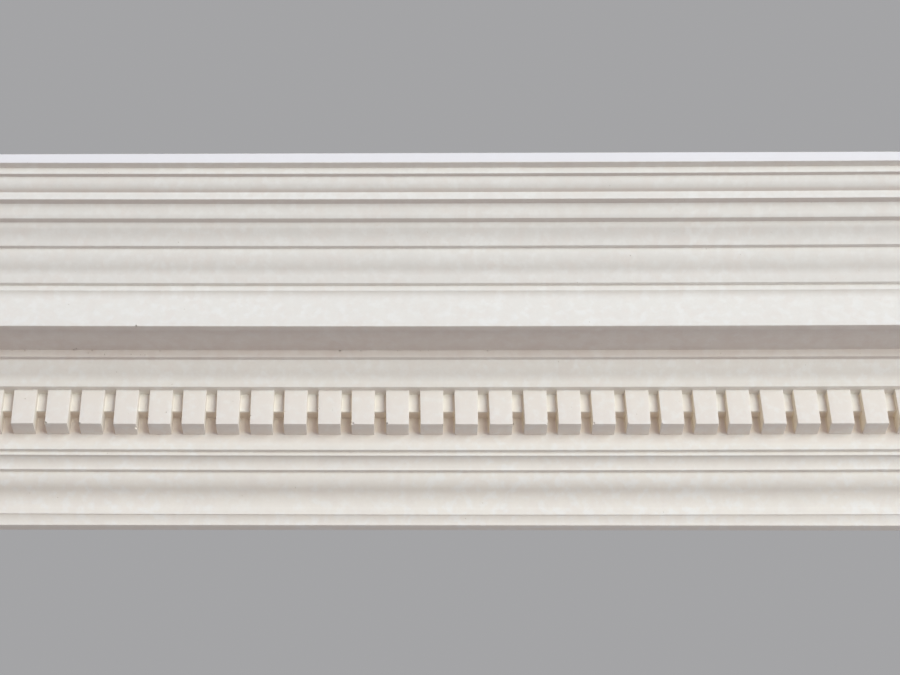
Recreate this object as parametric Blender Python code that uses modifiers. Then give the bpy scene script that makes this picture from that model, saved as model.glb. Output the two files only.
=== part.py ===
"""A length of dentil cornice, cast in plaster as one piece.

Metres, +Z up. The length runs along X and its moulded face looks along -Y. The wall is the plane Y = 0 and
the origin is the middle of the flat seat that goes against it. A second flat seat, on top, goes against the
ceiling. Between the two seats the back is hollow, as on a cast that is no thicker than it has to be.
"""

import math

import bmesh
import bpy

# Length and rhythm. Half a gap is left at each cut end, so that lengths butt without breaking the rhythm.
DENTIL_PITCH = 0.032
DENTIL_COUNT = 31
LENGTH = DENTIL_PITCH * DENTIL_COUNT

# Dentils, and the lower blocks that link them.
DENTIL_WIDTH = 0.0222
DENTIL_HEIGHT = 0.038
DENTIL_DEPTH = 0.0186
LINK_HEIGHT = 0.0194
LINK_RECESS = 0.0075
DENTIL_ROOT = 0.003

# Members of the section, from the ceiling down. A drop is a height, a step is the width of the soffit below.
TOP_FILLET_DROP = 0.0115
TOP_FILLET_STEP = 0.0074
CROWN_FILLET_DROP = 0.0071
CROWN_FILLET_STEP = 0.0042
OVOLO_SHOULDER_DROP = 0.0047
OVOLO_DROP = 0.0065
LIST_DROP = 0.0082
LIST_STEP = 0.0065
SPLAY_HOLLOW = 0.0081
SPLAY_ROUND = 0.004
SPLAY_STEP = 0.0056
SMALL_OGEE_BELLY = 0.0051
SMALL_OGEE_SLOPE = 0.0021
SMALL_OGEE_HOLLOW = 0.010
SMALL_OGEE_STEP = 0.004
CROWN_OGEE_BELLY = 0.0157
CROWN_OGEE_HOLLOW = 0.0055
CROWN_OGEE_SLOPE = 0.0067
CROWN_OGEE_STEP = 0.004
CORONA_FILLET_DROP = 0.0056
CORONA_CONGE_DROP = 0.007
CORONA_DROP = 0.031
CORONA_SOFFIT_DEPTH = 0.0404
DRIP_LIP = 0.008
DRIP_RISE = 0.001
BED_FILLET_DROP = 0.007
BED_FILLET_STEP = 0.0041
BED_OGEE_BELLY = 0.0106
BED_OGEE_HOLLOW = 0.0065
BED_OGEE_SLOPE = 0.0043
DENTIL_STEP = 0.0053
FASCIA_DROP = 0.0167
FASCIA_STEP = 0.0042
BEAD_DROP = 0.0037
BEAD_STEP = 0.0024
CAVETTO_DROP = 0.0098
CAVETTO_STEP = 0.0041
WALL_OGEE_BELLY = 0.013
WALL_OGEE_HOLLOW = 0.0137
WALL_FILLET_DROP = 0.0071
WALL_FILLET_STEP = 0.001
FOOT_CONGE_DROP = 0.0087

# Back of the cast.
FOOT_THICKNESS = 0.010
WALL_SEAT_HEIGHT = 0.050
CEILING_SEAT_DEPTH = 0.044
SHELL = 0.018
CORONA_BACKING = 0.029

# An arc is drawn with one straight facet for about this many degrees.
FACET_DEGREES = 6.0
WELD = 0.00001


class Section:
    """An outline drawn from the ceiling down: x is the distance from the wall and y is the height.

    An angle says which way a face looks: 0 is an upright face and 90 is a soffit.
    """

    def __init__(self):
        self.points = [(0.0, 0.0)]

    def move(self, inwards, down):
        x, y = self.points[-1]
        self.points.append((x - inwards, y - down))

    def face(self, drop):
        self.move(0.0, drop)

    def soffit(self, depth):
        self.move(depth, 0.0)

    def arc(self, start, end, drop):
        """A round stretch of this drop, whose face turns from one angle to the other."""
        first, last = math.radians(start), math.radians(end)
        radius = drop / abs(math.sin(last) - math.sin(first))
        x, y = self.points[-1]
        facets = max(2, round(abs(end - start) / FACET_DEGREES))
        for i in range(1, facets + 1):
            angle = first + (last - first) * i / facets
            inwards = radius * abs(math.cos(angle) - math.cos(first))
            down = radius * abs(math.sin(angle) - math.sin(first))
            self.points.append((x - inwards, y - down))

    def slope(self, angle, drop):
        """A flat stretch of this drop that leans back by this angle."""
        self.move(drop * math.tan(math.radians(angle)), drop)


def draw_crown(section):
    """The members above the corona."""
    section.face(TOP_FILLET_DROP)
    section.soffit(TOP_FILLET_STEP)
    section.face(CROWN_FILLET_DROP)
    section.soffit(CROWN_FILLET_STEP)
    section.arc(17, 25, OVOLO_SHOULDER_DROP)
    section.arc(25, 75, OVOLO_DROP)
    section.face(LIST_DROP)
    section.soffit(LIST_STEP)
    section.arc(38, 22, SPLAY_HOLLOW)
    section.arc(22, 44, SPLAY_ROUND)
    section.soffit(SPLAY_STEP)
    section.arc(20, 51, SMALL_OGEE_BELLY)
    section.slope(51, SMALL_OGEE_SLOPE)
    section.arc(51, 23, SMALL_OGEE_HOLLOW)
    section.soffit(SMALL_OGEE_STEP)
    section.arc(9, 54, CROWN_OGEE_BELLY)
    section.arc(54, 23, CROWN_OGEE_HOLLOW)
    section.slope(23, CROWN_OGEE_SLOPE)
    section.soffit(CROWN_OGEE_STEP)
    section.face(CORONA_FILLET_DROP)


def draw_corona(section):
    """The tall flat member, whose soffit is cut back a little behind a lip."""
    section.arc(62, 0, CORONA_CONGE_DROP)
    section.face(CORONA_DROP)
    section.soffit(DRIP_LIP)
    section.face(-DRIP_RISE)
    section.soffit(CORONA_SOFFIT_DEPTH - DRIP_LIP)


def draw_bed(section):
    """The members between the corona and the dentils, and the band of link blocks."""
    section.face(BED_FILLET_DROP + DRIP_RISE)
    section.soffit(BED_FILLET_STEP)
    section.arc(24, 52, BED_OGEE_BELLY)
    section.arc(52, 20, BED_OGEE_HOLLOW)
    section.slope(20, BED_OGEE_SLOPE)
    section.soffit(DENTIL_STEP + LINK_RECESS)
    section.face(LINK_HEIGHT)
    section.soffit(DENTIL_DEPTH - LINK_RECESS)


def draw_foot(section):
    """The wall behind the dentils, and the members below them."""
    section.face(DENTIL_HEIGHT - LINK_HEIGHT + FASCIA_DROP)
    section.soffit(FASCIA_STEP)
    section.face(BEAD_DROP)
    section.soffit(BEAD_STEP)
    section.arc(70, 5, CAVETTO_DROP)
    section.soffit(CAVETTO_STEP)
    section.arc(10, 66, WALL_OGEE_BELLY)
    section.arc(66, 8, WALL_OGEE_HOLLOW)
    section.face(WALL_FILLET_DROP)
    section.soffit(WALL_FILLET_STEP)
    section.arc(52, 8, FOOT_CONGE_DROP)


def cornice_section():
    """The whole outline in the row's place, and the corner under which the dentils sit."""
    section = Section()
    draw_crown(section)
    draw_corona(section)
    corona_inner = section.points[-1]
    draw_bed(section)
    dentil_wall = section.points[-1]
    draw_foot(section)

    # The foot stands off the wall, and the middle of the wall seat is at height 0.
    foot_x, foot_y = section.points[-1]
    shift_x = FOOT_THICKNESS - foot_x
    shift_y = -WALL_SEAT_HEIGHT / 2 - foot_y
    front = [(x + shift_x, y + shift_y) for x, y in section.points]
    corner = (corona_inner[0] + shift_x, corona_inner[1] + shift_y)
    wall = (dentil_wall[0] + shift_x, dentil_wall[1] + shift_y)

    ceiling_x, ceiling_y = front[0]
    ledge_y = corner[1] + SHELL
    back = [
        (0.0, -WALL_SEAT_HEIGHT / 2),
        (0.0, WALL_SEAT_HEIGHT / 2),
        (corner[0] - SHELL, ledge_y),
        (corner[0] + CORONA_SOFFIT_DEPTH - CORONA_BACKING, ledge_y),
        (ceiling_x - CEILING_SEAT_DEPTH, ceiling_y),
    ]
    return front + back, wall


def make_material():
    """Cream-white plaster with a dull finish."""
    material = bpy.data.materials.new("plaster")
    material.use_nodes = True
    shader = material.node_tree.nodes["Principled BSDF"]
    shader.inputs["Base Color"].default_value = (0.80, 0.77, 0.71, 1.0)
    shader.inputs["Roughness"].default_value = 0.75
    shader.inputs["Metallic"].default_value = 0.0
    return material


def make_run(outline, collection):
    """The plain run of the moulding: the section drawn as a flat curve and pulled out to the length."""
    curve = bpy.data.curves.new("section", "CURVE")
    curve.dimensions = "2D"
    curve.fill_mode = "BOTH"
    curve.extrude = LENGTH / 2
    spline = curve.splines.new("POLY")
    spline.points.add(len(outline) - 1)
    for point, (x, y) in zip(spline.points, outline):
        point.co = (x, y, 0.0, 1.0)
    spline.use_cyclic_u = True

    drawn = bpy.data.objects.new("section", curve)
    drawn.rotation_euler = (math.radians(90), 0.0, math.radians(-90))
    collection.objects.link(drawn)
    bpy.context.view_layer.update()
    evaluated = drawn.evaluated_get(bpy.context.evaluated_depsgraph_get())
    mesh = bpy.data.meshes.new_from_object(evaluated)

    welded = bmesh.new()
    welded.from_mesh(mesh)
    bmesh.ops.remove_doubles(welded, verts=welded.verts, dist=WELD)
    bmesh.ops.recalc_face_normals(welded, faces=welded.faces)
    welded.to_mesh(mesh)
    welded.free()

    run = bpy.data.objects.new("cornice_length", mesh)
    run.matrix_world = drawn.matrix_world
    collection.objects.link(run)
    bpy.data.objects.remove(drawn)
    return run


def make_dentils(wall, collection):
    """One dentil repeated along the length, rooted a little into the wall behind it and the member above it."""
    wall_x, link_y = wall
    top = link_y + LINK_HEIGHT + DENTIL_ROOT
    bottom = link_y + LINK_HEIGHT - DENTIL_HEIGHT
    front = wall_x + DENTIL_DEPTH
    back = wall_x - DENTIL_ROOT
    bpy.ops.mesh.primitive_cube_add(size=1.0)
    dentil = bpy.context.active_object
    dentil.name = "dentils"
    dentil.scale = (DENTIL_WIDTH, front - back, top - bottom)
    dentil.location = (-LENGTH / 2 + DENTIL_PITCH / 2, -(front + back) / 2, (top + bottom) / 2)
    bpy.ops.object.transform_apply(location=False, rotation=False, scale=True)

    array = dentil.modifiers.new("rhythm", "ARRAY")
    array.use_relative_offset = False
    array.use_constant_offset = True
    array.constant_offset_displace = (DENTIL_PITCH, 0.0, 0.0)
    array.count = DENTIL_COUNT
    for other in dentil.users_collection:
        other.objects.unlink(dentil)
    collection.objects.link(dentil)
    dentil.hide_render = True
    dentil.display_type = "WIRE"
    return dentil


def main():
    for thing in list(bpy.data.objects):
        bpy.data.objects.remove(thing)
    pieces = bpy.data.collections.new("dentil_cornice")
    tools = bpy.data.collections.new("joined_shapes")
    bpy.context.scene.collection.children.link(pieces)
    bpy.context.scene.collection.children.link(tools)

    outline, wall = cornice_section()
    run = make_run(outline, pieces)
    dentils = make_dentils(wall, tools)
    # Corners of the outline at one height can leave a flat triangle in a cut end, which use_self puts right.
    join = run.modifiers.new("dentils", "BOOLEAN")
    join.operation = "UNION"
    join.solver = "EXACT"
    join.use_self = True
    join.object = dentils
    run.data.materials.clear()
    run.data.materials.append(make_material())


main()
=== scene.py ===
# %% [markdown]
# # A dentil cornice in cast plaster
#
# A cornice closes the angle between a wall and a ceiling. This one is a fibrous plaster cast: a mould maker
# runs the long mouldings, plants the dentils on them, takes a mould, and the caster fills it about as thick
# as a finger. What comes out is one pale piece with crisp members in front and a rough hollow back.
#
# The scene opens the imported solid, reads the section and the dentils from it, and makes the same cast again
# with what a solid of flat facets leaves out: softened edges, a surface that is not quite true, knocks, air
# holes and the mottled colour of dry plaster.

# %% Open the frame
import math
import random

import bmesh
import bpy
from mathutils import Matrix, Vector
from mathutils.bvhtree import BVHTree


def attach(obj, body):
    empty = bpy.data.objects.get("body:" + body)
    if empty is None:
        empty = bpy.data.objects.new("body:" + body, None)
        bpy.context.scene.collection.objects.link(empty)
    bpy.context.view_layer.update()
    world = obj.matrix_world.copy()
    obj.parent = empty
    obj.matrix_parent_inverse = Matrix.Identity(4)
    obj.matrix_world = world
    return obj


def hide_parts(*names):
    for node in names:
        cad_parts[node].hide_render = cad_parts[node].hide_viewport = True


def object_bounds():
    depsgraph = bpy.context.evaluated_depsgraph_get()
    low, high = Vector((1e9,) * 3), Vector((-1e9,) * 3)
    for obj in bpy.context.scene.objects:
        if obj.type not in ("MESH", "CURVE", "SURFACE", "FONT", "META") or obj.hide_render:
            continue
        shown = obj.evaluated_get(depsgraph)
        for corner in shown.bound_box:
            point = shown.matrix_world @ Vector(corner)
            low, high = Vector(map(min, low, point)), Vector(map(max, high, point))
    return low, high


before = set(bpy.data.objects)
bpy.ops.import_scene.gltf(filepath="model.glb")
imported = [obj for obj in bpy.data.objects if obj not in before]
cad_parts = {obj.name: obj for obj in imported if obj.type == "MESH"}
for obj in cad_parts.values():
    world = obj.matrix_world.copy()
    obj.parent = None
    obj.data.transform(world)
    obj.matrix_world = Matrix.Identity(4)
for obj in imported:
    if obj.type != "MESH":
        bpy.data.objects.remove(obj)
cad_low, cad_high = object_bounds()
NODE = "cornice_length"
HALF_LENGTH = cad_high.x
MM = 0.001
NEAR = 0.01 * MM
print("the cast is", [round(side / MM, 1) for side in cad_high - cad_low], "mm")

# %% [markdown]
# ## What the solid says
#
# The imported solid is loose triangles. A merged copy of it gives back its corners, so nothing has to be
# measured twice: the corners on the cut end, walked round in order, are the section of the moulding, and
# every corner away from the two ends belongs to a dentil. The few sizes that the rest of the script needs,
# such as the dentils' pitch and the depth of the corona's underside, are read from those two sets.

# %% Merge a copy of the solid
solid = bmesh.new()
solid.from_mesh(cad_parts[NODE].data)
bmesh.ops.remove_doubles(solid, verts=solid.verts, dist=NEAR)
print(len(solid.verts), "corners in the solid")


# %% Walk round the cut end
def on_left_end(vert):
    return abs(vert.co.x + HALF_LENGTH) < NEAR


def end_outline():
    """The corners of the left end in order, as (distance from the wall, height)."""
    beside = {}
    for edge in solid.edges:
        flat = [all(on_left_end(vert) for vert in face.verts) for face in edge.link_faces]
        if sorted(flat) == [False, True]:
            for here, there in (edge.verts, reversed(edge.verts)):
                beside.setdefault(here, []).append(there)
    first = min(beside, key=lambda vert: (vert.co.y, -vert.co.z))
    path = [first]
    here, last = beside[first][0], first
    while here is not first:
        path.append(here)
        here, last = next(vert for vert in beside[here] if vert is not last), here
    outline = [Vector((-vert.co.y, vert.co.z)) for vert in path]
    area = sum(a.cross(b) for a, b in zip(outline, outline[1:] + outline[:1])) / 2
    return outline if area > 0 else outline[::-1]


outline = end_outline()
print(len(outline), "corners round the section")

# %% Find the dentils
dentil_corners = [vert.co.copy() for vert in solid.verts if abs(vert.co.x) < HALF_LENGTH - NEAR]
dentil_front = min(corner.y for corner in dentil_corners)
dentil_wall = max(corner.y for corner in dentil_corners)
dentil_foot = min(corner.z for corner in dentil_corners)
front_corners = [corner for corner in dentil_corners if corner.y < dentil_front + NEAR]
dentil_top = max(corner.z for corner in front_corners)
DECIMALS = 5
edges_x = sorted({round(corner.x, DECIMALS) for corner in front_corners})
dentil_count = len(edges_x) // 2
dentil_width = edges_x[1] - edges_x[0]
pitch = edges_x[2] - edges_x[0]
link_front = -max(d for d, height in outline if dentil_foot + MM < height < dentil_top - MM)
print(dentil_count, "dentils,", round(dentil_width / MM, 1), "mm wide, every", round(pitch / MM, 1), "mm")


# %% Find the underside of the corona
def widest_underside():
    """The longest level stretch that looks down, from its inner corner to its outer one."""
    stretches = zip(outline, outline[1:] + outline[:1])
    level = [pair for pair in stretches if abs(pair[0].y - pair[1].y) < NEAR]
    return max(level, key=lambda pair: pair[1].x - pair[0].x)


soffit_inner, soffit_outer = widest_underside()
ROUND_THE_LIP = 2
corona_arris = outline[(outline.index(soffit_outer) + ROUND_THE_LIP) % len(outline)]
crown_front = max(corner.x for corner in outline)
crown_foot = min(corner.y for corner in outline if corner.x > crown_front - NEAR)
print("the corona's underside is", round((soffit_outer.x - soffit_inner.x) / MM, 1), "mm deep")

# %% [markdown]
# ## The camera
#
# The photograph was taken from below and in front, looking up at about 35 degrees, from a place a little to
# the left of the picture's middle. A camera that is turned aside would make the lines fan out, and they
# hardly do, so the lens is shifted sideways instead. One point of the cornice is pinned to its pixel: the
# left edge of the middle dentil. Everything else follows from the angle and the focal length.

# %% Place the camera
IMAGE_WIDTH, IMAGE_HEIGHT = 900, 675
FOCAL_PIXELS = 2000
SENSOR = 36.0
LOOK_UP = math.radians(35.2)
TURN = math.radians(1.18)
ROLL = math.radians(-0.06)
SHIFT_X = 0.105
PINNED_PIXEL = (454.45, 406.0)
PITCH_IN_PIXELS = 34.0935
PINNED_DROP = 18.4 * MM

camera_data = bpy.data.cameras.new("camera")
camera_data.sensor_width = SENSOR
camera_data.lens = SENSOR * FOCAL_PIXELS / IMAGE_WIDTH
camera_data.shift_x = SHIFT_X
camera = bpy.data.objects.new("camera", camera_data)
bpy.context.scene.collection.objects.link(camera)
bpy.context.scene.camera = camera

aim = Matrix.Rotation(math.pi / 2 + LOOK_UP, 3, "X")
turned = aim @ Matrix.Rotation(TURN, 3, "Y") @ Matrix.Rotation(ROLL, 3, "Z")
depth = FOCAL_PIXELS * pitch / PITCH_IN_PIXELS
axis_x = IMAGE_WIDTH / 2 - SHIFT_X * IMAGE_WIDTH
axis_y = IMAGE_HEIGHT / 2


def pixel_ray(x, y):
    """The direction through a pixel, with a depth of 1 along the lens's axis."""
    return turned @ Vector(((x - axis_x) / FOCAL_PIXELS, (axis_y - y) / FOCAL_PIXELS, -1.0))


pinned = Vector((-dentil_width / 2, dentil_front, dentil_top - PINNED_DROP))
camera.location = pinned - pixel_ray(*PINNED_PIXEL) * depth
camera.rotation_euler = turned.to_euler()
print("camera at", [round(c, 3) for c in camera.location])

# %% [markdown]
# ## A short way to write node trees
#
# A node tree is boxes joined by wires. Three small classes keep it readable. `Wire` holds an output socket,
# and sums and products of wires add Math nodes. `Node` is a box that gives its outputs as wires. `Tree.add`
# makes any box from its settings and the values of its inputs. They serve the shape, the finish and the
# room, because all three kinds of tree have the Math node.


# %% Wires and trees
class Wire:
    """An output socket that takes part in sums."""

    def __init__(self, tree, socket):
        self.tree = tree
        self.socket = socket

    def math(self, operation, *numbers):
        return self.tree.add("ShaderNodeMath", dict(enumerate(numbers)), operation=operation).wire()

    def __add__(self, other):
        return self.math("ADD", self, other)

    def __sub__(self, other):
        return self.math("SUBTRACT", self, other)

    def __rsub__(self, other):
        return self.math("SUBTRACT", other, self)

    def __mul__(self, other):
        return self.math("MULTIPLY", self, other)

    def __truediv__(self, other):
        return self.math("DIVIDE", self, other)

    def __gt__(self, other):
        return self.math("GREATER_THAN", self, other)

    def __lt__(self, other):
        return self.math("LESS_THAN", self, other)

    __radd__ = __add__

    def greatest(self, other):
        return self.math("MAXIMUM", self, other)

    def ramp(self, start, end, low=0.0, high=1.0):
        """A smooth step: low up to start, high from end on."""
        values = {"Value": self, "From Min": start, "From Max": end, "To Min": low, "To Max": high}
        return self.tree.add("ShaderNodeMapRange", values, interpolation_type="SMOOTHSTEP").wire("Result")


class Node:
    """A node whose outputs are read as wires."""

    def __init__(self, tree, node):
        self.tree = tree
        self.node = node

    def wire(self, name=0):
        return Wire(self.tree, self.node.outputs[name])


class Tree:
    """Adds nodes to one node tree."""

    def __init__(self, tree):
        self.tree = tree

    def link(self, wire, socket):
        self.tree.links.new(wire.socket, socket)

    def add(self, kind, values=None, **settings):
        node = self.tree.nodes.new(kind)
        for name, setting in settings.items():
            setattr(node, name, setting)
        for key, value in (values or {}).items():
            if isinstance(value, Wire):
                self.link(value, node.inputs[key])
            else:
                node.inputs[key].default_value = value
        return Node(self, node)

    def split(self, vector):
        parts = self.add("ShaderNodeSeparateXYZ", {"Vector": vector})
        return [parts.wire(axis) for axis in "XYZ"]

    def combine(self, x=0.0, y=0.0, z=0.0):
        return self.add("ShaderNodeCombineXYZ", {"X": x, "Y": y, "Z": z}).wire()

    def vectors(self, operation, first, second):
        return self.add("ShaderNodeVectorMath", {0: first, 1: second}, operation=operation).wire()

    def scale(self, vector, by):
        return self.add("ShaderNodeVectorMath", {0: vector, "Scale": by}, operation="SCALE").wire()

    def mix(self, factor, first, second):
        """The second colour over the first, as far as the factor says. 6, 7 and 2 are the colour sockets."""
        return self.add("ShaderNodeMix", {0: factor, 6: first, 7: second}, data_type="RGBA").wire(2)

    def noise(self, place, size, detail=2.0):
        """Soft noise between 0 and 1, whose lumps are about this wide in metres."""
        values = {"Vector": place, "Scale": 1.0 / size, "Detail": detail}
        return self.add("ShaderNodeTexNoise", values).wire()


# %% [markdown]
# ## Knocks
#
# Every arris within reach of a ladder has been knocked. The photograph shows which ones, so each knock is
# placed by its pixel: a ray goes from the camera through the pixel to the solid, and a lumpy ball where it
# lands is cut out later. A ball centred on a corner takes off just the corner.
#
# Smaller and rounder balls make the air holes that show, and a row of pits in the corner under the corona,
# where air stayed in the mould. A pit's ball is pushed in along the ray, so that the pit is deep for its
# width. Each ball's faces carry a number under the name "hole", and the finish paints shade into the hole
# where it says 1.

# %% Where the knocks are
# Each is a pixel and the radius of its ball in millimetres.
KNOCK_PIXELS = {
    "second dentil, lower left corner": ((45.5, 423.0), 1.4),
    "third dentil, lower left corner": ((79.5, 423.1), 1.0),
    "third dentil, underside": ((101.0, 426.5), 1.2),
    "fourth dentil, underside": ((136.8, 428.0), 2.2),
    "fifth dentil, left arris": ((149.0, 416.0), 0.9),
    "eighth dentil, left arris": ((250.5, 415.0), 0.8),
    "ninth dentil, left arris": ((284.5, 411.0), 0.9),
    "tenth dentil, left arris": ((318.8, 408.0), 0.8),
    "tenth dentil, underside": ((340.5, 425.0), 1.2),
    "eleventh dentil, lower left corner": ((352.4, 423.0), 1.8),
    "twelfth dentil, lower left corner": ((386.9, 422.5), 1.0),
    "thirteenth dentil, underside": ((442.6, 425.0), 1.1),
    "fifteenth dentil, lower right corner": ((513.0, 423.0), 1.0),
    "sixteenth dentil, lower right corner": ((547.3, 423.5), 1.5),
    "eighteenth dentil, lower left corner": ((593.6, 422.5), 1.5),
    "nineteenth dentil, lower left corner": ((628.0, 423.0), 1.2),
    "twentieth dentil, lower left corner": ((662.0, 423.3), 1.1),
    "twenty-third dentil, lower left corner": ((764.1, 423.3), 1.0),
    "twenty-fourth dentil, left arris": ((798.0, 419.0), 1.6),
    "twenty-fifth dentil, lower left corner": ((832.2, 423.0), 2.0),
    "twenty-sixth dentil, lower left corner": ((866.3, 423.3), 1.0),
    "arris of the corona": ((136.0, 325.5), 0.9),
}
print(len(KNOCK_PIXELS), "knocks")

# %% Where the holes are
HOLE_PIXELS = {
    "hole in the first dentil": ((25.0, 399.0), 0.6),
    "hole in the fifth dentil": ((166.0, 412.0), 0.8),
    "hole in the wall ogee": ((295.3, 487.2), 0.8),
    "hole below the wall ogee": ((241.8, 495.5), 0.6),
    "hole in the bed fillet": ((720.6, 353.0), 0.7),
}
PITS_UNDER_THE_CORONA = (
    (12.0, 350.8), (24.7, 350.9), (40.0, 350.4), (74.0, 349.6), (76.2, 348.6), (88.3, 353.4),
    (92.0, 350.8), (103.2, 350.2), (104.6, 354.8), (131.0, 354.6), (145.0, 354.9), (160.0, 351.2),
    (192.5, 349.6), (340.0, 350.5), (361.0, 350.5), (397.5, 350.5), (420.2, 350.5), (428.3, 350.5),
    (487.5, 350.5),
)
print(len(HOLE_PIXELS), "holes and", len(PITS_UNDER_THE_CORONA), "pits")

# %% Make the balls
# The size and the depth are in millimetres. The spread and the lumps are shares of the size.
PIT_SIZE = 0.75
PIT_SPREAD = (0.8, 1.1)
PIT_DEPTH = 0.5
KNOCK_LUMPS = 0.22
HOLE_LUMPS = 0.07
BALL_LEVELS = 2
KNOCK_SEED = 8


def make_knocks():
    """All the balls as one mesh, each where its pixel's ray lands on the solid."""
    surface = BVHTree.FromBMesh(solid)
    chance = random.Random(KNOCK_SEED)
    balls = bmesh.new()
    is_hole = balls.faces.layers.float.new("hole")
    wanted = [(pixel, radius, 0.0, 0.0) for pixel, radius in KNOCK_PIXELS.values()]
    wanted += [(pixel, radius, 0.0, 1.0) for pixel, radius in HOLE_PIXELS.values()]
    for pixel in PITS_UNDER_THE_CORONA:
        wanted.append((pixel, chance.uniform(*PIT_SPREAD) * PIT_SIZE, PIT_DEPTH, 1.0))
    for pixel, radius, depth_inside, hole in wanted:
        ray = pixel_ray(*pixel).normalized()
        place = surface.ray_cast(camera.location, ray)[0] + ray * depth_inside * MM
        ball = bmesh.ops.create_icosphere(balls, subdivisions=BALL_LEVELS, radius=radius * MM)
        lumps = HOLE_LUMPS if hole else KNOCK_LUMPS
        for vert in ball["verts"]:
            vert.co = vert.co * chance.uniform(1 - lumps, 1 + lumps) + place
        for face in {face for vert in ball["verts"] for face in vert.link_faces}:
            face[is_hole] = hole
    mesh = bpy.data.meshes.new("knocks")
    balls.to_mesh(mesh)
    balls.free()
    knocks = bpy.data.objects.new("knocks", mesh)
    bpy.context.scene.collection.objects.link(knocks)
    return knocks


knocks = make_knocks()
print(len(knocks.data.polygons), "faces on the balls")

# %% [markdown]
# ## The section, with its edges softened
#
# A cast never has the knife edges of a drawing. The mould, the brush and later coats of limewash take less
# than a millimetre off each edge, and fill each inner corner a little. The turn between two facets tells the
# two kinds of corner apart: a shallow one only draws a round member and stays as it is, and a sharp one
# becomes a small arc. Long straight stretches get points between, so that they can be uneven.

# %% Soften the outline
SHARP_TURN = math.radians(20)
EDGE_RADIUS = 0.8 * MM
CORNER_RADIUS = 0.4 * MM
ROUND_FACETS = 3
LARGEST_SHARE = 0.4
LONGEST_STRETCH = 8 * MM


def round_corner(before, here, after):
    """The points that take the place of one corner."""
    into, out = here - before, after - here
    turn = math.atan2(into.cross(out), into.dot(out))
    if abs(turn) < SHARP_TURN:
        return [here]
    wanted = (EDGE_RADIUS if turn > 0 else CORNER_RADIUS) * math.tan(abs(turn) / 2)
    reach = min(wanted, LARGEST_SHARE * into.length, LARGEST_SHARE * out.length)
    start = here - into.normalized() * reach
    radius = math.copysign(reach / math.tan(abs(turn) / 2), turn)
    centre = start + Vector((-into.y, into.x)).normalized() * radius
    spoke = start - centre
    steps = [Matrix.Rotation(turn * i / ROUND_FACETS, 2) for i in range(ROUND_FACETS + 1)]
    return [centre + step @ spoke for step in steps]


def soften(corners):
    ahead = corners[1:] + corners[:1]
    behind = corners[-1:] + corners[:-1]
    return [point for trio in zip(behind, corners, ahead) for point in round_corner(*trio)]


def divide(corners):
    points = []
    for here, after in zip(corners, corners[1:] + corners[:1]):
        pieces = max(1, math.ceil((after - here).length / LONGEST_STRETCH))
        points += [here.lerp(after, i / pieces) for i in range(pieces)]
    return points


section = divide(soften(outline))
print(len(outline), "corners became", len(section), "points")


# %% Draw the section as a curve
def make_section_curve(points):
    """A closed flat curve. It is drawn upside down, because a swept profile's y points down along +X."""
    curve = bpy.data.curves.new("section", "CURVE")
    curve.dimensions = "2D"
    spline = curve.splines.new("POLY")
    spline.points.add(len(points) - 1)
    for spot, point in zip(spline.points, points):
        spot.co = (point.x, -point.y, 0.0, 1.0)
    spline.use_cyclic_u = True
    drawn = bpy.data.objects.new("section", curve)
    bpy.context.scene.collection.objects.link(drawn)
    return drawn


section_curve = make_section_curve(section)
print("the section is one closed curve of", len(section_curve.data.splines[0].points), "points")

# %% [markdown]
# ## One dentil
#
# A dentil is a plain block, a little narrower at its foot, so that it leaves the mould. A cube scaled to its
# size and bevelled is all it takes. It reaches a little into the wall behind it and into the member above
# it, so that the two shapes can be joined without a seam.

# %% Make the block
ROOT = 3 * MM
BLOCK_RADIUS = 0.55 * MM
BLOCK_FACETS = 3
BLOCK_CUTS = 3
TAPER = 0.045


def make_block():
    """The block with its origin at its own middle, and that middle's place on the cornice."""
    size = Vector((dentil_width, dentil_wall + ROOT - dentil_front, dentil_top + ROOT - dentil_foot))
    middle = Vector((0.0, dentil_front + size.y / 2, dentil_foot + size.z / 2))
    shape = bmesh.new()
    bmesh.ops.create_cube(shape, size=1.0, matrix=Matrix.Diagonal((*size, 1.0)))
    bmesh.ops.bevel(
        shape, geom=shape.edges, offset=BLOCK_RADIUS, segments=BLOCK_FACETS, profile=0.5, affect="EDGES")
    long_edges = [edge for edge in shape.edges if edge.calc_length() > LONGEST_STRETCH]
    bmesh.ops.subdivide_edges(shape, edges=long_edges, cuts=BLOCK_CUTS, use_grid_fill=True)
    for vert in shape.verts:
        vert.co.x *= 1 - TAPER * (0.5 - vert.co.z / size.z)
    mesh = bpy.data.meshes.new("block")
    shape.to_mesh(mesh)
    shape.free()
    block = bpy.data.objects.new("block", mesh)
    bpy.context.scene.collection.objects.link(block)
    return block, middle


block, block_middle = make_block()
print("a block has", len(block.data.polygons), "faces")

# %% [markdown]
# ## The cast as a rule
#
# Sweep the section along a line, set a block at every pitch, join them, let the whole length sag a little,
# and push the surface in by a hair here and there: that is a rule, so Geometry Nodes hold it. The sizes are
# inputs of the tree, and one fixed seed sets how each block leans.
#
# Dentils are set out by hand, so they stray from even marks by up to a couple of millimetres. A curve says
# how far each one strays along the run. The finish reads the same curve, so that the dust and the painted
# warm shade lie in the gaps where they really are.

# %% How far the dentils stray
STRAYS = (
    -0.7, -0.7, -0.7, -0.7, -0.6, -0.1, 0.15, -0.2, -0.05, 0.0, -0.4, -0.3, -0.95, -0.5, -0.4, 0.05,
    0.2, 0.9, 0.3, 0.4, 0.65, 0.0, 0.0, -1.1, -1.05, -1.7, -2.15, -2.3, -2.3, -1.6, -0.8,
)
STRAY_REACH = 4.0


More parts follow.
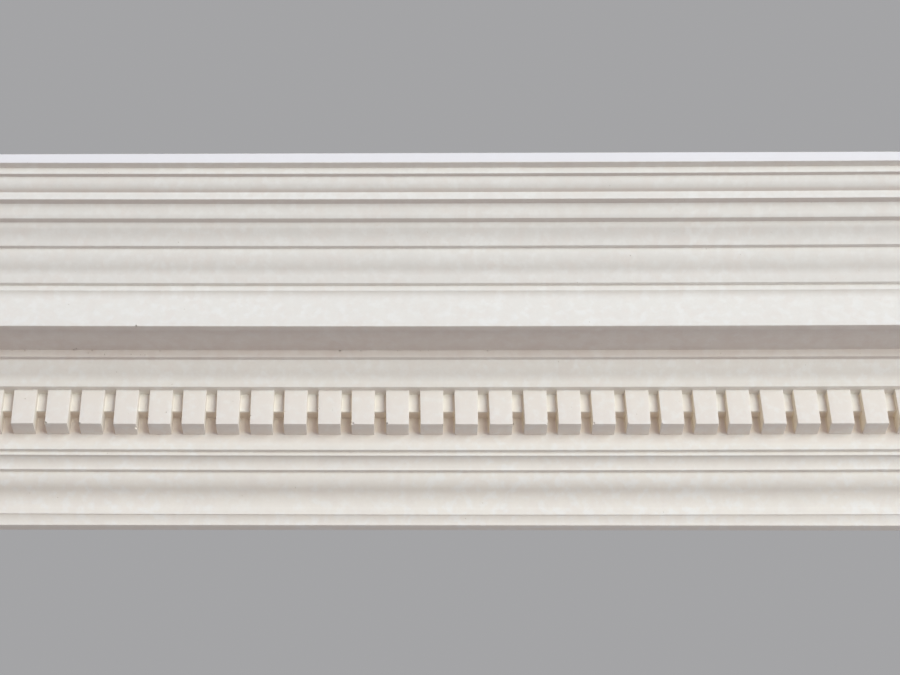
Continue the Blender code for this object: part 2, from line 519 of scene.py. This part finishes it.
def stray(tree, place_along):
    """How far the dentil at this place strays, in metres, read off one curve."""
    chart = tree.add("ShaderNodeFloatCurve", {"Value": place_along / (2 * HALF_LENGTH) + 0.5})
    curve = chart.node.mapping.curves[0]
    for number, millimetres in enumerate(STRAYS[1:-1], 1):
        curve.points.new((number + 0.5) / dentil_count, 0.5 + millimetres / (2 * STRAY_REACH))
    for spot, millimetres in ((curve.points[0], STRAYS[0]), (curve.points[-1], STRAYS[-1])):
        spot.location = (spot.location.x, 0.5 + millimetres / (2 * STRAY_REACH))
    for spot in curve.points:
        spot.handle_type = "VECTOR"
    chart.node.mapping.update()
    return (chart.wire() - 0.5) * (2 * STRAY_REACH * MM)


print("the dentils stray between", min(STRAYS), "and", max(STRAYS), "mm")

# %% Inputs of the tree
cast_tree = bpy.data.node_groups.new("cast", "GeometryNodeTree")
cast_tree.interface.new_socket("Geometry", in_out="OUTPUT", socket_type="NodeSocketGeometry")
INPUTS = {
    "Section": "NodeSocketObject",
    "Block": "NodeSocketObject",
    "Knocks": "NodeSocketObject",
    "Half length": "NodeSocketFloat",
    "Stations": "NodeSocketInt",
    "Pitch": "NodeSocketFloat",
    "Count": "NodeSocketInt",
    "Block middle": "NodeSocketVector",
    "Off the mark": "NodeSocketVector",
    "Out of square": "NodeSocketVector",
    "Top": "NodeSocketFloat",
    "Foot": "NodeSocketFloat",
    "Sag": "NodeSocketFloat",
    "Stiff band": "NodeSocketFloat",
    "Front hollows": "NodeSocketFloat",
    "Back hollows": "NodeSocketFloat",
    "Seed": "NodeSocketInt",
    "Plaster": "NodeSocketMaterial",
}
input_ids = {
    name: cast_tree.interface.new_socket(name, in_out="INPUT", socket_type=kind).identifier
    for name, kind in INPUTS.items()
}
cast = Tree(cast_tree)
given = cast.add("NodeGroupInput").wire
print("inputs:", ", ".join(INPUTS))

# %% Sweep the run
half = given("Half length")
line = cast.add("GeometryNodeCurvePrimitiveLine", {
    "Start": cast.combine(half * -1.0), "End": cast.combine(half)}).wire()
stations = cast.add("GeometryNodeResampleCurve", {"Curve": line, "Count": given("Stations")}).wire()
profile = cast.add("GeometryNodeObjectInfo", {"Object": given("Section")}).wire("Geometry")
run = cast.add("GeometryNodeCurveToMesh", {
    "Curve": stations, "Profile Curve": profile, "Fill Caps": True}).wire()
print("the section is swept along", round(2 * HALF_LENGTH, 3), "m")


# %% Set out the blocks
def random_between(low, high, salt):
    values = {0: low, 1: high, "Seed": given("Seed") + salt}
    return cast.add("FunctionNodeRandomValue", values, data_type="FLOAT_VECTOR").wire()


def astray(reach, salt):
    """A random vector between minus and plus this reach on each axis."""
    return random_between(cast.scale(reach, -1.0), reach, salt)


marks = cast.add("GeometryNodeMeshLine", {
    "Count": given("Count"), "Start Location": cast.combine(given("Pitch") * 0.5 - half),
    "Offset": cast.combine(given("Pitch"))}).wire()
at_mark = cast.split(cast.add("GeometryNodeInputPosition").wire())[0]
mark_offset = cast.vectors("ADD", astray(given("Off the mark"), 1), given("Block middle"))
mark_offset = cast.vectors("ADD", mark_offset, cast.combine(stray(cast, at_mark)))
placed = cast.add("GeometryNodeSetPosition", {"Geometry": marks, "Offset": mark_offset}).wire()
block_shape = cast.add("GeometryNodeObjectInfo", {"Object": given("Block")}).wire("Geometry")
blocks = cast.add("GeometryNodeInstanceOnPoints", {
    "Points": placed, "Instance": block_shape, "Rotation": astray(given("Out of square"), 2)}).wire()
print("a block stands at each of", dentil_count, "marks")

# %% Join run and blocks
block_meshes = cast.add("GeometryNodeRealizeInstances", {"Geometry": blocks}).wire()
joined = cast.add("GeometryNodeMeshBoolean", operation="UNION", solver="EXACT")
for part in (run, block_meshes):
    cast.link(part, joined.node.inputs["Mesh 2"])
print("run and blocks are one skin")

# %% [markdown]
# ## What is back and what is face
#
# A caster looks after the face and leaves the back as the brush left it. So the rule asks of each point
# whether its skin looks back or up, and keeps the answer on the mesh under the name "behind". It is asked
# now, before holes are cut, so that the inside of a hole counts as part of the face round it. The shape
# reads it once more below, and so does the finish. A second mark, "underside", says which faces look down.
#
# The balls carry no mark "behind", and Blender then leaves a few corners in the knocks marked as back. Which
# ones differs from run to run, so some thirty corners there can move by a millimetre or two.

# %% Where a point is and which way it looks
LOOKS_BACK = (0.1, 0.5)
LOOKS_DOWN = (0.75, 0.95)
x, y, z = cast.split(cast.add("GeometryNodeInputPosition").wire())
_, normal_y, normal_z = cast.split(cast.add("GeometryNodeInputNormal").wire())


def mark(geometry, name, value, domain):
    """The same shape, with this value kept on it under this name."""
    marking = {"Geometry": geometry, "Name": name, "Value": value}
    return cast.add("GeometryNodeStoreNamedAttribute", marking, data_type="FLOAT", domain=domain).wire()


half_marked = mark(joined.wire(), "behind", normal_y.greatest(normal_z).ramp(*LOOKS_BACK), "POINT")
marked = mark(half_marked, "underside", (normal_z * -1.0).ramp(*LOOKS_DOWN), "FACE")
print("the back and the undersides are marked")

# %% Cut the knocks
knock_meshes = cast.add("GeometryNodeObjectInfo", {"Object": given("Knocks")}).wire("Geometry")
cut = cast.add("GeometryNodeMeshBoolean", {"Mesh 1": marked}, operation="DIFFERENCE", solver="EXACT")
cast.link(knock_meshes, cut.node.inputs["Mesh 2"])
print("the knocks are cut")

# %% [markdown]
# ## A surface that is not quite true
#
# The mould sags between its bearers, so the middle of the length hangs a little lower than the ends, while
# the seats on wall and ceiling stay straight. The face was sanded true to a hair. The back was brushed on by
# hand in thick coats, and nobody sanded that. One field says how far each point is pushed in, little in front
# and more where "behind" says so. It is never pushed out, so the cast stays inside the drawing's sizes.

# %% How far a point is pushed in
LUMP = 26 * MM
SWELL = 160 * MM
LUMP_SHARE = 0.6
FROM_LOW_TO_HIGH = (0.3, 0.7)
position = cast.combine(x, y, z)
lumps = cast.noise(position, LUMP)
swell = cast.noise(position, SWELL)
on_a_seat = (z > given("Top") - NEAR).greatest(y > -NEAR)
is_behind = cast.add("GeometryNodeInputNamedAttribute", {"Name": "behind"}, data_type="FLOAT").wire()
sanded = (lumps * 0.5 + swell * 0.5) * given("Front hollows")
brushed_on = lumps.ramp(*FROM_LOW_TO_HIGH) * LUMP_SHARE + swell.ramp(*FROM_LOW_TO_HIGH) * (1 - LUMP_SHARE)
brushed_on = brushed_on * given("Back hollows")
inwards = (sanded * (1.0 - is_behind) + brushed_on * is_behind) * (1.0 - on_a_seat)
print("the face is pushed in by lumps", round(LUMP / MM), "mm wide and swells", round(SWELL / MM), "mm wide")

# %% How the length sags
across = x / half
free = z.ramp(given("Foot"), given("Foot") + given("Stiff band"))
free = free * z.ramp(given("Top") - given("Stiff band"), given("Top"), 1.0, 0.0)
droop = given("Sag") * (0.5 - across * across) * free
push = cast.combine(0.0, normal_y * inwards * -1.0, normal_z * inwards * -1.0 - droop)
untrue = cast.add("GeometryNodeSetPosition", {"Geometry": cut.wire(), "Offset": push}).wire()
print("the middle hangs lower and the ends a little higher")

# %% Finish the tree
# Faces inside a hole stay flat, because smooth ones would blend into the face round the hole.
in_hole = cast.add("GeometryNodeInputNamedAttribute", {"Name": "hole"}, data_type="FLOAT").wire()
rounded = {"Geometry": untrue, "Shade Smooth": in_hole < 0.5}
smooth = cast.add("GeometryNodeSetShadeSmooth", rounded, domain="FACE").wire()
turn = cast.add("GeometryNodeInputMeshEdgeAngle").wire("Unsigned Angle")
crisp = cast.add("GeometryNodeSetShadeSmooth", {
    "Geometry": smooth, "Selection": turn > SHARP_TURN, "Shade Smooth": False}, domain="EDGE").wire()
realised = cast.add("GeometryNodeRealizeInstances", {"Geometry": crisp}).wire()
coated = cast.add("GeometryNodeSetMaterial", {"Geometry": realised, "Material": given("Plaster")}).wire()
cast.add("NodeGroupOutput", {"Geometry": coated})
print(len(cast_tree.nodes), "nodes in the tree")

# %% [markdown]
# ## Dry plaster
#
# Plaster looks white until something white is beside it. It is a pale cream, a little warmer towards the foot
# and cooler towards the ceiling, and cool where it was washed; dust and painted warm shade make the gaps
# warmer. Nothing on it is one flat colour: there are clouds a hand wide, blots, faint runs from the damp
# brush, and specks. All of it is faint, a few parts in a hundred, so the colours below lie close together.

# %% Colours of the finish
HIGH = (0.792, 0.782, 0.738, 1.0)
LOW = (0.813, 0.783, 0.715, 1.0)
ROSE = (0.785, 0.742, 0.688, 1.0)
CHALK = (0.835, 0.836, 0.800, 1.0)
TAN = (0.920, 0.710, 0.520, 1.0)
WARM_BOUNCE_LIGHT = (0.920, 0.830, 0.660, 1.0)
CREAM = (0.776, 0.718, 0.660, 1.0)
# SHADE_BROWN is painted shade: it darkens the underside of the corona and the high undersides.
SHADE_BROWN = (0.570, 0.470, 0.420, 1.0)
PAINT = (0.828, 0.826, 0.840, 1.0)
SPECK = (0.420, 0.360, 0.300, 1.0)
BACK = (0.700, 0.680, 0.630, 1.0)
print("the plain coat goes from", LOW[:3], "at the foot to", HIGH[:3], "at the ceiling")

# %% Open the material
plaster = bpy.data.materials.new("plaster")
plaster.use_nodes = True
finish = Tree(plaster.node_tree)
shader = plaster.node_tree.nodes["Principled BSDF"]
place = finish.add("ShaderNodeTexCoord").wire("Object")
along, out, up = finish.split(place)
is_back = finish.add("ShaderNodeAttribute", attribute_name="behind").wire("Fac")
print("the material is", plaster.name)

# %% Clouds, blots and runs
CLOUD = 130 * MM
BLOT = 15 * MM
WASHED = 9 * MM
FINE = 3 * MM
RUN_WIDTH = 16 * MM
RUN_LENGTH = 140 * MM
ELSEWHERE = (3.0, 1.0, 2.0)
shifted = finish.vectors("ADD", place, ELSEWHERE)
clouds = finish.noise(place, CLOUD, 3.0)
blots = finish.noise(place, BLOT, 4.0)
washed = finish.noise(shifted, WASHED, 3.0)
drawn_down = finish.vectors("MULTIPLY", place, (1.0, RUN_WIDTH / RUN_LENGTH, RUN_WIDTH / RUN_LENGTH))
runs = finish.noise(drawn_down, RUN_WIDTH, 2.0)
print("clouds, blots and washed spots:", [round(width / MM) for width in (CLOUD, BLOT, WASHED)], "mm wide")

# %% Lay them over each other
FULLY_HIGH = 0.8 * cad_high.z
BLOT_EDGE = (0.40, 0.72)
BLOT_SHARE = 0.5
WASHED_EDGE = (0.44, 0.70)
CLOUD_EDGE = (0.3, 0.6)
CHALK_SHARES = (0.35, 0.8)
TONE = 0.995
RUN_DEPTH = 0.05
CLOUD_DEPTH = 0.04
FINE_DEPTH = 0.05
colour = finish.mix(up.ramp(cad_low.z, FULLY_HIGH), LOW, HIGH)
colour = finish.mix(blots.ramp(*BLOT_EDGE) * BLOT_SHARE, colour, ROSE)
colour = finish.mix(washed.ramp(*WASHED_EDGE) * clouds.ramp(*CLOUD_EDGE, *CHALK_SHARES), colour, CHALK)
fine = finish.noise(shifted, FINE)
tone = TONE + (runs - 0.5) * RUN_DEPTH + (clouds - 0.5) * CLOUD_DEPTH + (fine - 0.5) * FINE_DEPTH
colour = finish.scale(colour, tone)
print("rose blots up to", BLOT_SHARE, "and chalky spots up to", CHALK_SHARES[1])

# %% [markdown]
# ## Dust, paint, and painted light and shade
#
# Tan dust and painted warm shade fill the gaps between the dentils, and the sides of the dentils that face
# away from the window carry painted warm bounce light. The dentils and the band just below them are a little
# creamier and darker. Painted shade darkens the wide underside of the corona with the fillet under it, and
# the small undersides near the ceiling. The top fillet was painted over with the cool white of the ceiling.
#
# Each of these is a colour and a share, laid over what is there by a mask. The masks read the sizes that were
# found in the solid, so they sit on the right members.

# %% Where the dentils are
SOFT_EDGE = 0.4 * MM
BAND_FADE = 4 * MM
turns = (along - stray(finish, along)) / pitch + 0.5
off_centre = (turns.math("FRACT", turns) - 0.5) * pitch
narrowing = (dentil_top - up) * (TAPER / (dentil_top - dentil_foot))
side = (1.0 - narrowing) * (dentil_width / 2)
in_gap = off_centre.math("ABSOLUTE", off_centre).ramp(side - SOFT_EDGE, side + SOFT_EDGE)
band = up.ramp(dentil_foot - SOFT_EDGE, dentil_foot + BAND_FADE) * (up < dentil_top - MM)
print("the band of dentils is", round((dentil_top - dentil_foot) / MM, 1), "mm high")

# %% Dust and painted warm shade in the gaps
DUST_AND_WARM_SHADE_SHARE = 0.42
DUST_AND_WARM_SHADE_FADE = 3 * MM
recess = out.ramp(link_front + SOFT_EDGE, link_front + DUST_AND_WARM_SHADE_FADE)
# Painted warm shade: the tan in the gaps is partly dust and partly the warm shade that light bounced between
# the dentils gives.
colour = finish.mix(in_gap * band * recess * DUST_AND_WARM_SHADE_SHARE, colour, TAN)
print("dust starts", round(SOFT_EDGE / MM, 1), "mm behind the fronts of the link blocks")

# %% The creamier band round the dentils
CREAM_SHARE = 0.55
CREAM_FROM = dentil_foot - 12 * MM
CREAM_FULL = dentil_foot - 8 * MM
CREAM_FADE = dentil_top - 3 * MM
CREAM_END = dentil_top - MM / 2
WASHED_AWAY = (1.0, 0.6)
creamier_band = up.ramp(CREAM_FROM, CREAM_FULL) * up.ramp(CREAM_END, CREAM_FADE)
creamier_band = creamier_band * washed.ramp(*WASHED_EDGE, *WASHED_AWAY)
colour = finish.mix(creamier_band * CREAM_SHARE, colour, CREAM)
print("cream from", round(CREAM_FROM / MM), "to", round(CREAM_END / MM), "mm up")

# %% Painted warm bounce light on the left sides
WARM_BOUNCE_SHARE = 0.9
WARM_BOUNCE_WIDTH = 2.5 * MM
# Painted light: the left sides face away from the window, and a lighter, warmer colour stands in for the
# light bounced onto them.
left_side = off_centre.ramp(BLOCK_RADIUS - side, side * -1.0)
left_side = left_side * off_centre.ramp(-WARM_BOUNCE_WIDTH - side, side * -1.0)
colour = finish.mix(left_side * band * WARM_BOUNCE_SHARE, colour, WARM_BOUNCE_LIGHT)
print("honey reaches", round(WARM_BOUNCE_WIDTH / MM, 1), "mm past each left side")

# %% Painted shade under the corona
CORONA_SHADE_SHARE = 0.34
CORONA_SHADE_FOOT = soffit_outer.y - 8 * MM
CORONA_SHADE_TOP = soffit_outer.y + 2 * MM
CORONA_SHADE_SPREAD = (0.85, 1.15)
# Painted shade: the underside of the corona and the members just under it are darkened, as the corona's
# shadow darkens them.
under_corona_shade = up.ramp(CORONA_SHADE_FOOT - MM, CORONA_SHADE_FOOT) * (up < CORONA_SHADE_TOP)
under_corona_shade = under_corona_shade * out.ramp(SOFT_EDGE - corona_arris.x, MM - corona_arris.x)
colour = finish.mix(under_corona_shade * blots.ramp(*FROM_LOW_TO_HIGH, *CORONA_SHADE_SPREAD) * CORONA_SHADE_SHARE, colour, SHADE_BROWN)
print("grime from", round(CORONA_SHADE_FOOT / MM), "to", round(CORONA_SHADE_TOP / MM), "mm up")

# %% Painted shade on the high undersides
UNDERSIDE_SHADE_SHARE = 0.38
UNDERSIDE_SHADE_FROM = 170 * MM
UNDERSIDE_SHADE_FULL = 215 * MM
UNDERSIDE_SHADE_FADE = (crown_foot - 4 * MM, crown_foot - MM)
LESS_UNDER_THE_FILLET = (1.0, 0.5)
is_underside = finish.add("ShaderNodeAttribute", attribute_name="underside").wire("Fac")
# Painted shade: faces that look down near the ceiling are darkened, and less so right under the top fillet.
high_underside_shade = is_underside * up.ramp(UNDERSIDE_SHADE_FROM, UNDERSIDE_SHADE_FULL) * up.ramp(*UNDERSIDE_SHADE_FADE, *LESS_UNDER_THE_FILLET)
colour = finish.mix(high_underside_shade * UNDERSIDE_SHADE_SHARE, colour, SHADE_BROWN)
print("smoke from", round(UNDERSIDE_SHADE_FROM / MM), "mm up")

# %% Ceiling paint on the top fillet
PAINT_SHARE = 0.8
painted = up.ramp(crown_foot, crown_foot + SOFT_EDGE) * out.ramp(MM - crown_front, -crown_front)
colour = finish.mix(painted * PAINT_SHARE, colour, PAINT)
print("paint from", round(crown_foot / MM), "mm up")

# %% Specks, the back and the holes
SPECK_SPACING = 17 * MM
SPECK_SIZE = 0.035
SPECK_SHARE = 0.5
BACK_SHARE = 0.8
HOLE_SHADE_SHARE = 0.25
dots = finish.add("ShaderNodeTexVoronoi", {"Vector": place, "Scale": 1 / SPECK_SPACING})
speck = dots.wire("Distance").ramp(SPECK_SIZE / 2, SPECK_SIZE, 1.0, 0.0)
colour = finish.mix(speck * SPECK_SHARE, colour, SPECK)
colour = finish.mix(is_back * BACK_SHARE, colour, BACK)
# Painted shade: the faces inside the holes and pits are darkened towards the speck colour.
hole_shade = finish.add("ShaderNodeAttribute", attribute_name="hole").wire("Fac")
colour = finish.mix(hole_shade * HOLE_SHADE_SHARE, colour, SPECK)
finish.link(colour, shader.inputs["Base Color"])
print("a speck every", round(SPECK_SPACING / MM), "mm or so")

# %% Dullness and grain
# Widths in metres, and heights in millimetres.
GRAIN, GRAIN_HEIGHT = 0.9 * MM, 0.010
WAVE, WAVE_HEIGHT = 14 * MM, 0.09
BRUSH, BRUSH_HEIGHT = 5 * MM, 1.3
BRUSH_STRETCH = (0.15, 1.0, 1.0)
SPECK_DENT = 0.3
DULLNESS = 0.70
BLOT_DULLNESS = 0.2
BACK_DULLNESS = 0.12
SHINE = 0.3
grain = finish.noise(place, GRAIN)
waves = finish.noise(place, WAVE)
brushed = finish.noise(finish.vectors("MULTIPLY", place, BRUSH_STRETCH), BRUSH, 3.0)
height = grain * GRAIN_HEIGHT + waves * WAVE_HEIGHT + brushed * is_back * BRUSH_HEIGHT - speck * SPECK_DENT
bump = finish.add("ShaderNodeBump", {"Height": height, "Distance": MM, "Strength": 1.0}).wire()
finish.link(bump, shader.inputs["Normal"])
dullness = DULLNESS + (blots - 0.5) * BLOT_DULLNESS + is_back * BACK_DULLNESS
finish.link(dullness, shader.inputs["Roughness"])
shader.inputs["Specular IOR Level"].default_value = SHINE
print(len(plaster.node_tree.nodes), "nodes in the finish")

# %% [markdown]
# ## Making the piece
#
# The tree needs an object to hang on. Its inputs are set by their identifiers before Blender first works it
# out, and the result is kept as a plain mesh. The holder and the shapes that it read are then removed.

# %% Run the tree
STATION = 8 * MM


def cast_piece():
    """Gives the tree its sizes, and keeps its result as a plain mesh."""
    holder = bpy.data.objects.new("tree_holder", bpy.data.meshes.new("tree_holder"))
    bpy.context.scene.collection.objects.link(holder)
    modifier = holder.modifiers.new("cast", "NODES")
    modifier.node_group = cast_tree
    values = {
        "Section": section_curve, "Block": block, "Knocks": knocks, "Half length": HALF_LENGTH,
        "Stations": round(2 * HALF_LENGTH / STATION) + 1, "Pitch": pitch, "Count": dentil_count,
        "Block middle": block_middle, "Off the mark": (0.0, 0.1 * MM, 0.15 * MM),
        "Out of square": (0.0, 0.006, 0.004), "Top": cad_high.z, "Foot": cad_low.z, "Sag": 1.4 * MM,
        "Stiff band": 11 * MM, "Front hollows": 0.25 * MM, "Back hollows": 3.2 * MM,
        "Seed": 4, "Plaster": plaster,
    }
    for name, value in values.items():
        modifier[input_ids[name]] = value
    evaluated = holder.evaluated_get(bpy.context.evaluated_depsgraph_get())
    mesh = bpy.data.meshes.new_from_object(evaluated)
    mesh.name = "cornice_cast"
    piece = bpy.data.objects.new("cornice_cast", mesh)
    bpy.context.scene.collection.objects.link(piece)
    for helper in (holder, section_curve, block, knocks):
        bpy.data.objects.remove(helper)
    return piece


cornice = cast_piece()
print(cornice.name, "has", len(cornice.data.polygons), "faces")


# %% Measure the piece
def measure(piece):
    """Prints what a caster would ask of it: how much plaster it takes, and whether the skin is whole."""
    shape = bmesh.new()
    shape.from_mesh(piece.data)
    open_edges = sum(not edge.is_manifold for edge in shape.edges)
    triangles = sum(len(face.verts) - 2 for face in shape.faces)
    litres = round(shape.calc_volume() * 1000, 2)
    print(triangles, "triangles,", open_edges, "open edges,", litres, "litres")
    shape.free()


measure(cornice)

# %% [markdown]
# ## Light and floor
#
# A large window to the right and in front gives the soft shadows between the dentils, and a pale room does
# the rest. Some of the window's light comes back up from the floor at the right, so the undersides get paler
# from left to right: a second disc, low down, stands for that. A third stands behind the cornice, where none
# of its light reaches the face, and shows the brushed back to anyone who walks round.
#
# The room is a world colour: an even grey behind the cornice, bluish in front and above, warmer in front and
# below. The floor is only something for the eye to stand on. It neither lights nor shades the piece, because
# the lights and the room were matched to the photograph without it.

# %% The room
GREY = (0.372, 0.372, 0.381, 1.0)
FRONT_HIGH = (0.406, 0.421, 0.600, 1.0)
FRONT_LOW = (0.312, 0.254, 0.262, 1.0)
HORIZON = (-0.2, 0.2)
SIDES = (-0.1, 0.1)
room = bpy.data.worlds.new("room")
room.use_nodes = True
air = Tree(room.node_tree)
_, to_rear, to_sky = air.split(air.add("ShaderNodeTexCoord").wire("Generated"))
front_air = air.mix(to_sky.ramp(*HORIZON), FRONT_LOW, FRONT_HIGH)
air_colour = air.mix(to_rear.ramp(*SIDES), front_air, GREY)
air.link(air_colour, room.node_tree.nodes["Background"].inputs["Color"])
scene = bpy.context.scene
scene.world = room
scene.view_settings.view_transform = "Standard"
print("the room behind the cornice is", GREY[:3])

# %% The window, the glow and the lamp behind
WINDOW_DISTANCE = 18.0
WINDOW_TO_THE_RIGHT = math.radians(32)
WINDOW_ABOVE = math.radians(2)
to_the_right = Matrix.Rotation(WINDOW_TO_THE_RIGHT, 3, "Z")
facing = to_the_right @ Matrix.Rotation(math.pi / 2 - WINDOW_ABOVE, 3, "X")
# Each light has its place, its width in metres, its power in watts and its colour.
LIGHTS = {
    "window": (facing @ Vector((0.0, 0.0, WINDOW_DISTANCE)), 15.0, 2850.0, (0.96, 1.0, 0.93)),
    "glow": (Vector((1.5, -0.3, -1.4)), 1.8, 3.5, (0.90, 0.95, 1.0)),
    "behind": (Vector((-2.6, 2.4, 1.9)), 0.9, 60.0, (1.0, 0.97, 0.93)),
}


def add_disc(name, spot, width, power, colour):
    """A round light that faces the origin and isn't seen itself."""
    light = bpy.data.lights.new(name, "AREA")
    light.shape = "DISK"
    light.size = width
    light.energy = power
    light.color = colour
    lamp = bpy.data.objects.new(name, light)
    lamp.location = spot
    lamp.rotation_euler = spot.to_track_quat("Z", "Y").to_euler()
    lamp.visible_camera = False
    bpy.context.scene.collection.objects.link(lamp)


for name, about in LIGHTS.items():
    add_disc(name, *about)
    print("the", name, "is", round(about[0].length, 2), "m away")

# %% The floor
FLOOR_SIZE = 16.0
FLOOR_HEIGHT = -2.6
FLOOR_COLOUR = (0.60, 0.59, 0.58, 1.0)
FLOOR_DULLNESS = 0.8
bpy.ops.mesh.primitive_plane_add(size=FLOOR_SIZE, location=(0.0, 0.0, FLOOR_HEIGHT))
floor = bpy.context.active_object
floor.name = "floor"
paint = bpy.data.materials.new("floor_paint")
paint.use_nodes = True
coat = paint.node_tree.nodes["Principled BSDF"]
coat.inputs["Base Color"].default_value = FLOOR_COLOUR
coat.inputs["Roughness"].default_value = FLOOR_DULLNESS
floor.data.materials.append(paint)
floor.visible_diffuse = False
floor.visible_shadow = False
print("the floor is", -FLOOR_HEIGHT, "m below the wall seat")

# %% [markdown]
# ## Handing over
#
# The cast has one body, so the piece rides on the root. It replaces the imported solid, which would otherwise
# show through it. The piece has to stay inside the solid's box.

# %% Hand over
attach(cornice, "root")
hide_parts(NODE)
